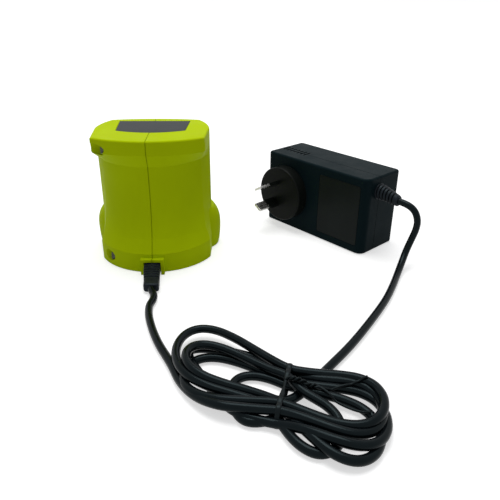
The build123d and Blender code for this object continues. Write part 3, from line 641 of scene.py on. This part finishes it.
mix_finishes(board_lacquer, {"board_green": ((0.018, 0.13, 0.055),)})

# %% [markdown]
# ### The lead's sheath and the sleeves
#
# The sheath is soft black vinyl that was drawn smooth through a die, so it has a clear highlight. The
# sleeves are a duller vinyl from a mould. Shade is painted into their grooves, where little light gets
# in: each point of a sleeve carries a number that says how deep in a groove it lies, and the recipe
# darkens the colour towards near black by it. The lamp alone could shade them, but its soft light
# loses grooves this narrow.
# The wire tie has a thin coat of the same kind.


# %% Vinyl
rub_size = 0.010
rub_dark = 0.8
rub_light = 1.25
dust_size = 0.0007
dust_starts = 0.66
dust_ends = 0.78
dust_colour = (0.06, 0.06, 0.055)
# painted shade: the colour at the bottom of a groove, where little light gets in
painted_groove_shade = (0.0004, 0.0005, 0.0006)
smear_size = 0.005
smear_smoother = 0.05
smear_duller = 0.07
skin_size = 0.0011
skin_height = 0.00004
skin_strength = 0.45


def vinyl(name, colour, roughness, gloss, dust, paints_groove_shade):
    """Soft black vinyl: rubbed clouds, pale dust specks, polished smears, painted groove shade."""
    material, tree, shader = new_material(name)
    rub = spread(tree, grain(tree, rub_size, 4.0), 0.0, 1.0)
    tint = blend_colours(tree, rub, shade(colour, rub_dark), shade(colour, rub_light))
    specks = spread(tree, grain(tree, dust_size, 2.0), 0.0, dust, dust_starts, dust_ends)
    surface = blend_colours(tree, specks, tint, dust_colour)
    # painted shade: the deeper a point lies in a groove, the nearer its colour goes to near black
    if paints_groove_shade:
        groove = add_node(tree, "ShaderNodeAttribute", attribute_name="groove")
        surface = blend_colours(tree, groove.outputs["Fac"], surface, painted_groove_shade)
    tree.links.new(surface, shader.inputs["Base Color"])
    smears = grain(tree, smear_size, 4.0)
    polished = spread(tree, smears, roughness - smear_smoother, roughness + smear_duller)
    tree.links.new(polished, shader.inputs["Roughness"])
    raise_bump(tree, shader, grain(tree, skin_size, 3.0), skin_height, skin_strength)
    shader.inputs["Specular IOR Level"].default_value = gloss
    shader.inputs["Specular Tint"].default_value = (*cool_sheen, 1.0)
    return material


# %% Three vinyls: colour, roughness, gloss, dust, with painted groove shade or not
vinyl_rows = {
    "cord_vinyl": ((0.0026, 0.0040, 0.0052), 0.22, 0.10, 0.05, False),
    "relief_vinyl": ((0.0088, 0.0100, 0.0142), 0.38, 0.12, 0.05, True),
    "tie_vinyl": ((0.0032, 0.0040, 0.0048), 0.34, 0.12, 0.04, False),
}
mix_finishes(vinyl, vinyl_rows)

# %% [markdown]
# ## Dressing the solid parts
#
# Each solid part already has its shape. It keeps its mesh, and only its material slots are filled.
# One table says what every part is made of. That is easier to check and to change than a line of
# code for each part.

# %% Give each solid part its finish
finishes = {
    "lime_plastic": ("cradle_left_shell", "cradle_right_shell"),
    # painted shade: the screws' dark colour stands in for the shade of their recesses
    "screw_zinc": ("cradle_screws",),
    "liner_black": ("pocket_liner", "terminal_block"),
    "contact_brass": ("contact_negative", "contact_sense", "contact_positive", "contact_lugs"),
    "board_green": ("charge_board", "adaptor_board"),
    "component_black": (
        "control_chip", "power_transistor", "board_diodes", "bridge_rectifier", "switch_transistor",
    ),
    "can_sleeve": ("board_capacitor", "bulk_capacitor", "output_capacitors"),
    "wire_sleeve": ("contact_leads", "supply_leads", "mains_leads", "output_leads"),
    "label_film": ("cradle_label",),
    "relief_vinyl": ("cradle_strain_relief", "adaptor_strain_relief"),
    "adaptor_black": ("adaptor_front_shell", "adaptor_back_shell"),
    "patch_film": ("rating_patch",),
    "plug_black": ("plug_insert", "pin_sleeve_active", "pin_sleeve_neutral"),
    "pin_nickel": ("plug_pin_active", "plug_pin_neutral"),
    "fuse_glaze": ("mains_fuse",),
    "sink_aluminium": ("heat_sink",),
    "ferrite_grey": ("transformer_core", "output_choke"),
    "coil_tape": ("transformer_winding",),
    "cord_vinyl": ("cord_cradle_lead", "cord_adaptor_lead", "cord_hank"),
    "tie_vinyl": ("cord_tie",),
}
for finish, names in finishes.items():
    for name in names:
        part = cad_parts[name]
        part.data.materials.clear()
        part.data.materials.append(palette[finish])
dressed = sum(len(names) for names in finishes.values())
print("dressed", dressed, "of", len(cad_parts), "parts")

# %% [markdown]
# ## The lead
#
# The lead is one length of cable, 4.2 mm thick, from the cradle's sleeve to the adaptor's. A cable
# bends smoothly and never kinks, so it is drawn as one NURBS spline: the spline is pulled towards its
# control points and rounds every corner by itself.
#
# The middle of the lead is wound into a hank of five turns. It passes through the tie eleven times.
# Between two passes it swings out to one end and comes back. Such a swing is worked out as a straight
# line from one pass to the next, plus arches: half a wave makes the swing, a whole wave leans it, and
# three and four half waves flatten its tip. No two swings are alike, so the loops fan out. Each
# place is in millimetres. A lead that lies on the table has its middle a little over its own radius
# above it.

# %% The lead's route
cord_radius = 2.1 * mm
rest_height = 2.15
cradle_lead = (  # from the cradle's sleeve towards the hank
    (1.8, -67.5, 3.3),
    (2.6, -69.6, 3.1),
    (4.3, -73.4, 2.4),
    (4.2, -78.0, rest_height),
    (3.0, -82.6, rest_height),
    (3.0, -87.0, rest_height),
    (4.1, -94.4, rest_height),
    (6.3, -102.6, rest_height),
    (9.1, -111.2, rest_height),
    (12.5, -119.8, rest_height),
    (16.8, -128.4, rest_height),
)
hank_entry = (  # along the hank's near side, up onto the turns below it
    (20.4, -136.1, 2.2),
    (24.1, -146.1, 2.2),
    (31.1, -157.3, 3.6),
    (40.8, -165.4, 6.1),
    (51.3, -167.6, 6.4),
    (61.0, -168.6, 6.1),
)
tie_passes = (  # where the lead goes through the tie, in the order it does so
    (65.6, -169.0, 6.0),
    (72.7, -142.9, rest_height),
    (64.6, -172.8, 2.6),
    (71.7, -146.4, rest_height),
    (66.8, -164.5, 6.0),
    (72.4, -143.9, 6.2),
    (66.9, -164.2, rest_height),
    (70.8, -149.9, rest_height),
    (65.6, -169.6, rest_height),
    (71.4, -147.6, 5.9),
    (67.9, -160.5, rest_height),
)
swings = (  # arches along X, along Y and upward, one line for each swing
    ((35.9, -2.1, -3.1, 0.7), (-15.0, -8.4, -0.5, 2.6), (1.7, -0.5, 1.4)),
    ((-38.5, -0.3, 3.0, 2.9), (24.9, 9.8, -2.5, -0.4), (0.8, -0.7, -0.2)),
    ((37.4, -2.5, -3.3, 0.7), (-16.1, -9.3, -0.7, 2.9), (2.6, 1.2, 2.0)),
    ((-40.5, 2.9, 3.2, -0.4), (15.0, 10.1, -2.2, -2.0), (-1.0, -0.8, 0.8)),
    ((36.1, -2.8, -2.9, 0.5), (-14.1, -9.0, 0.5, 2.2), (1.2, 0.0, -0.3)),
    ((-44.6, 4.9, 3.1, -0.5), (30.7, 12.9, -3.7, -3.1), (2.0, -1.6, 0.7)),
    ((31.0, -6.1, -3.2, 1.2), (-27.2, -9.5, 1.4, 2.4), (1.5, 0.7, 1.7)),
    ((-21.3, 1.2, 0.4, 0.6), (6.1, 8.4, -1.0, -0.2), (0.0, 0.0, 0.0)),
    ((17.9, -2.7, -3.2, 0.4), (-21.7, -6.5, -0.5, 2.1), (-1.6, -0.1, 0.7)),
    ((-39.4, 2.7, 3.8, -0.5), (19.3, 7.8, -2.2, -2.3), (4.3, -1.7, -0.4)),
)
adaptor_lead = (  # from the hank to the adaptor's sleeve
    (74.7, -157.2, rest_height),
    (81.1, -150.3, rest_height),
    (90.8, -138.4, rest_height),
    (104.4, -122.2, rest_height),
    (118.6, -102.0, rest_height),
    (131.6, -82.2, rest_height),
    (139.8, -66.6, rest_height),
    (146.2, -53.0, rest_height),
    (151.2, -43.6, 5.1),
    (155.2, -37.3, 10.6),
    (158.0, -35.6, 17.2),
    (159.8, -36.0, 23.8),
    (160.0, -36.5, 30.2),
    (158.0, -34.6, 36.0),
    (153.75, -30.94, 38.8),
    (150.18, -26.76, 38.8),
)

# %% From pass to pass
points_per_swing = 13


def swing_points(start, end, arches):
    """From one pass through the tie to the next: a straight line plus arches, above the table."""
    share = np.linspace(0.0, 1.0, points_per_swing, endpoint=False)
    line = np.outer(1.0 - share, start) + np.outer(share, end)
    for axis, sizes in enumerate(arches):
        waves = np.arange(1, len(sizes) + 1)
        line[:, axis] += np.sin(np.outer(share, waves) * math.pi) @ np.array(sizes)
    line[:, 2] = np.maximum(line[:, 2], rest_height)
    return line


legs = zip(tie_passes[:-1], tie_passes[1:], swings)
turns = np.vstack([swing_points(*leg) for leg in legs])
route = np.vstack([cradle_lead, hank_entry, turns, tie_passes[-1:], adaptor_lead]) * mm
print("route of the lead:", len(route), "control points")

# %% Draw the lead
steps_per_point = 6
ring_steps = 5
cord_curve = bpy.data.curves.new("charger_lead", "CURVE")
cord_curve.dimensions = "3D"
cord_spline = cord_curve.splines.new("NURBS")
cord_spline.points.add(len(route) - 1)
cord_spline.points.foreach_set("co", np.c_[route, np.ones(len(route))].ravel())
cord_spline.order_u = 3
cord_spline.use_endpoint_u = True
cord_spline.resolution_u = steps_per_point
cord_curve.bevel_depth = cord_radius
cord_curve.bevel_resolution = ring_steps
cord_curve.use_fill_caps = True
cord_curve.materials.append(palette["cord_vinyl"])
cord = bpy.data.objects.new("charger_lead", cord_curve)
bpy.context.scene.collection.objects.link(cord)
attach(cord, "root")
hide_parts("cord_cradle_lead", "cord_adaptor_lead", "cord_hank")


def measured_line(curve_object):
    """Points that a curve really passes through, read from the curve with its thickness left off."""
    bare = curve_object.data.copy()
    bare.bevel_depth = 0.0
    ghost = bpy.data.objects.new("ghost", bare)
    mesh = bpy.data.meshes.new_from_object(ghost)
    line = np.empty(len(mesh.vertices) * 3)
    mesh.vertices.foreach_get("co", line)
    bpy.data.objects.remove(ghost)
    bpy.data.meshes.remove(mesh)
    bpy.data.curves.remove(bare)
    return line.reshape(-1, 3)


cord_line = measured_line(cord)

# %% [markdown]
# ## The wire tie
#
# The tie is a soft iron wire in a flat vinyl ribbon. It goes once round all the passes of the lead,
# is twisted on itself on top, and its two ends splay out over the turns. A tie is pulled tight, so it
# lies on the cord wherever it crosses it. The height of the cord under any place is worked out from
# the lead itself: over a round cord the surface is a circle, and the highest circle wins. Placing
# every point of the tie by hand would do too, but then a moved turn of the lead would cut through it.
# All sizes of the tie and of the two sleeves are in millimetres too.

# %% What lies under a place
lead_line = cord_line / mm
settle_passes = 10
own_weight = 0.5
neighbour_weight = 0.25


def height_over_lead(places, thickness, least):
    """How high something `thickness` thick lies on the lead at each (x, y) place.

    Over a round cord it is the height of the cord's middle plus the square root of reach squared less
    gap squared. Reach is the cord's radius plus the thickness, and gap is the distance across the
    table. The highest cord wins, and each settling pass raises a dip to the mean round it.
    """
    gap = places[:, None, :2] - lead_line[None, :, :2]
    reach = cord_radius / mm + thickness
    rise = reach**2 - (gap**2).sum(-1)
    tops = np.where(rise > 0, lead_line[None, :, 2] + np.sqrt(np.maximum(rise, 0.0)), least)
    height = np.maximum(tops.max(1), least)
    for _ in range(settle_passes):
        lifted = np.r_[height[:1], height, height[-1:]]
        before, own, after = lifted[:-2], lifted[1:-1], lifted[2:]
        mean = neighbour_weight * before + own_weight * own + neighbour_weight * after
        height = np.maximum(height, mean)
    return height


# %% Ribbon round the hank
tie_start = np.array((73.2, -141.0))
tie_stop = np.array((62.6, -180.0))
loop_near = -1.6
loop_far = 33.6
loop_floor = 0.7
loop_corner = 0.35
ribbon_half_width = 1.15
ribbon_half_thickness = 0.42
loop_steps = 161
ribbon_ring = 16
ribbon_squareness = 0.8
gap_middle = 15.0
gap_reach = 3.4
gap_height = 4.4
on_edge = 0.6


def tie_loop():
    """The ribbon round the hank.

    In the upright plane along the tie it is an oval with squared corners. Its upper half is scaled to
    the height that the cord has there, so it hugs both bundles and dips between them, where the
    ribbon is narrower too, because it turns on edge.
    """
    turn = np.linspace(0.0, 2.0 * math.pi, loop_steps)
    cosine, sine = np.cos(turn), np.sin(turn)
    middle, half = (loop_near + loop_far) / 2.0, (loop_far - loop_near) / 2.0
    along = middle - half * np.sign(cosine) * np.abs(cosine) ** loop_corner
    heading = (tie_stop - tie_start) / np.linalg.norm(tie_stop - tie_start)
    places = tie_start + along[:, None] * heading
    dip = np.exp(-(((along - gap_middle) / gap_reach) ** 2))
    top = height_over_lead(places, ribbon_half_thickness, gap_height)
    above = np.clip(sine, 0.0, 1.0) ** loop_corner
    path = np.c_[places, loop_floor + (top - loop_floor) * above]
    lean = (heading[1], -heading[0], 0.0)
    width = ribbon_half_width * (1.0 - on_edge * dip * (sine > 0))
    return pipe(path, ribbon_half_thickness, width, ribbon_ring, ribbon_squareness, up=lean)


# %% Twist and tails
wire_radius = 0.58
wire_ring = 12
twist_turns = 3.0
twist_reach = 0.62
twist_steps = 110
tail_steps = 90
tail_overlap = 2  # points at the start of the tail that would lie in the end of the helix
tail_drop = 3.0
twist_stops = ((70.3, -152.0), (74.0, -153.7), (78.3, -154.9), (82.4, -156.1))
tail_stops = (
    ((86.5, -157.0), (92.0, -156.4), (99.0, -155.0), (104.5, -154.0)),
    ((86.4, -159.0), (91.5, -164.4), (97.0, -168.2), (102.6, -170.2)),
)


def twisted_wire(side, tail):
    """One wire of the twist: a helix about the twist's line that runs out into a tail.

    The helix is the line plus twist_reach * cos(angle) across it and twist_reach * sin(angle) upward.
    The tail starts at the helix's height and has eased down onto the turns after 1 / tail_drop of its
    way.
    """
    places = through(twist_stops, twist_steps)
    core = np.c_[places, height_over_lead(places, wire_radius + twist_reach, gap_height)]
    share = np.linspace(0.0, 1.0, len(core))
    angle = share * twist_turns * 2.0 * math.pi + side * math.pi
    heading = np.gradient(core, axis=0)
    heading /= np.linalg.norm(heading, axis=1, keepdims=True)
    across = np.cross(heading, (0.0, 0.0, 1.0))
    helix = core + (twist_reach * np.cos(angle))[:, None] * across
    helix[:, 2] += twist_reach * np.sin(angle)
    run = through((helix[-1, :2], *tail), tail_steps)
    height = height_over_lead(run, wire_radius, gap_height)
    down = ease(np.linspace(0.0, tail_drop, len(run)))
    height += (helix[-1, 2] - height[0]) * (1.0 - down)
    path = np.vstack([helix, np.c_[run, height][tail_overlap:]])
    return pipe(path, wire_radius, wire_radius, wire_ring)


# %% Make the tie
wires = [twisted_wire(side, tail) for side, tail in enumerate(tail_stops)]
tie_points, tie_faces = join_skins(tie_loop(), *wires)
tie = make_piece("wire_tie", tie_points * mm, tie_faces, palette["tie_vinyl"])
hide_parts("cord_tie")

# %% [markdown]
# ## The cradle's sleeve
#
# Where the lead leaves the cradle, a soft sleeve spreads its bending. It is a flat block with
# grooves across it, so that it can flex, and a spine down its middle that some grooves don't cut.
# The shape is a rounded rectangle carried along a line. Grooves are places where every point of the
# ring moves a little towards the middle. Grooves could be cut out of a solid block too, but a grid of
# points needs no cutting, and each point can carry the depth of its groove, by which shade is painted
# into the grooves.

# %% Cradle sleeve
sleeve_inside = -37.95
sleeve_flange_end = -39.3
sleeve_root = -45.7
sleeve_end = -67.5
sleeve_half_width = (4.9, 4.45)
sleeve_half_height = (3.6, 2.75)
sleeve_axis = (4.2, 3.35)
sleeve_sway = 1.8
flange_half_width = 6.3
flange_axis = 6.2
groove_count = 6
groove_first = -46.9
groove_pitch = 2.45
groove_half = 0.42
groove_depth = 0.24
whole_every = 3
spine_half = 0.06
end_round = 1.6
end_face = 0.72
sleeve_squareness = 0.42
sleeve_rows = 300
sleeve_ring = 96
quarter = 0.98


def rounded_end(into_end, face):
    """How much of the ring's size is left, `into_end` going from 0 to 1 over the last stretch.

    It closes as a quarter circle does: face, plus the rest times the square root of one less
    into_end squared. The value `quarter` is a little under 1, so it stops short of a full quarter.
    """
    return face + (1.0 - face) * np.sqrt(1.0 - quarter * into_end**2)


def cradle_sleeve():
    """A rounded rectangle along -Y that narrows and sways towards the lead, with grooves and a spine.

    A groove's depth is e to the minus fourth power of the distance from its middle, counted in half
    widths, which gives it steep walls and a flat floor. The spine is where the cosine of the ring's
    angle is near 0. Only every third groove cuts through it.
    """
    y = np.linspace(sleeve_inside, sleeve_end, sleeve_rows)
    share = ease((sleeve_root - y) / (sleeve_root - sleeve_end))
    in_flange = y > sleeve_flange_end
    wide = np.interp(share, (0, 1), sleeve_half_width)
    wide = np.where(in_flange, flange_half_width, wide)
    high = np.interp(share, (0, 1), sleeve_half_height)
    axis = np.where(in_flange, flange_axis, np.interp(share, (0, 1), sleeve_axis))
    into_end = np.clip((sleeve_end + end_round - y) / end_round, 0.0, 1.0)
    closing = rounded_end(into_end, end_face)
    middles = groove_first - groove_pitch * np.arange(groove_count)
    cuts = np.exp(-(((y[:, None] - middles) / groove_half) ** 4))
    angle = np.linspace(0.0, 2.0 * math.pi, sleeve_ring, endpoint=False)
    spine = np.exp(-((np.cos(angle) / spine_half) ** 6))
    whole = (np.arange(groove_count) % whole_every == whole_every - 1)[None, :]
    all_round = (cuts * whole).sum(1)[:, None]
    beside_spine = (cuts * ~whole).sum(1)[:, None] * (1.0 - spine)[None, :]
    depth = all_round + beside_spine
    swell = closing[:, None] * (1.0 - groove_depth * depth)
    path = np.c_[sleeve_sway * share, y, axis]
    heading = (0.0, -1.0, 0.0)
    skin = pipe(path, wide, high, sleeve_ring, sleeve_squareness, swell=swell, heading=heading)
    return *skin, depth.ravel()


sleeve_points, sleeve_faces, sleeve_grooves = cradle_sleeve()
sleeve = make_piece(
    "cradle_sleeve", sleeve_points * mm, sleeve_faces, palette["relief_vinyl"]
)
mark_grooves(sleeve, sleeve_grooves)
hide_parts("cradle_strain_relief")

# %% [markdown]
# ## The adaptor's sleeve
#
# The other end's sleeve is a round cone with rings. It starts behind the case's wall with a flange,
# passes the wall by a narrow neck, and droops a little under the lead's weight. Its radius is worked
# out along its length, so flange, neck, cone, rings and rounded tip are all one profile. A profile
# turned round a straight axis would be simpler, but it couldn't droop.

# %% Adaptor sleeve
case_corner = np.array((74.7, 41.6, 0.0))
case_turn = math.radians(-49.5)
along_case = np.array((math.cos(case_turn), math.sin(case_turn), 0.0))
into_case = np.array((-math.sin(case_turn), math.cos(case_turn), 0.0))
cone_start = 82.3
cone_flange = 83.7
cone_face = 86.05
cone_tip = 101.0
cone_depth = 13.0
cone_height = 41.4
cone_droop = 2.6
droop_power = 1.4
cone_radii = (5.3, 3.3)
flange_radius = 5.0
neck_radius = 3.8
ring_count = 6
ring_pitch = 2.1
ring_first = 87.3
ring_cut = 0.85
ring_half = 0.42
tip_round = 1.0
tip_face = 0.75
cone_rows = 300
cone_ring = 64


def adaptor_sleeve():
    """A turned profile along the case: flange, neck, a cone with grooves in it, and a round tip.

    The cone's radius goes evenly from its first value to its second, less ring_cut in each groove. Its
    middle line droops by the power droop_power of the share of its length.
    """
    x = np.linspace(cone_start, cone_tip, cone_rows)
    share = np.clip((x - cone_face) / (cone_tip - cone_face), 0.0, 1.0)
    radius = np.interp(share, (0, 1), cone_radii)
    middles = ring_first + ring_pitch * np.arange(ring_count)
    cuts = np.exp(-(((x[:, None] - middles) / ring_half) ** 4)).sum(1)
    radius = radius - ring_cut * cuts
    radius = np.where(x < cone_face, neck_radius, radius)
    radius = np.where(x < cone_flange, flange_radius, radius)
    into_tip = np.clip((x - cone_tip + tip_round) / tip_round, 0.0, 1.0)
    radius = radius * rounded_end(into_tip, tip_face)
    path = case_corner + x[:, None] * along_case + cone_depth * into_case
    path[:, 2] = cone_height - cone_droop * share**droop_power
    skin = pipe(path, radius, radius, cone_ring, heading=along_case)
    return *skin, np.repeat(cuts, cone_ring)


cone_points, cone_faces, cone_grooves = adaptor_sleeve()
cone = make_piece(
    "adaptor_sleeve", cone_points * mm, cone_faces, palette["relief_vinyl"]
)
mark_grooves(cone, cone_grooves)
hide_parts("adaptor_strain_relief")
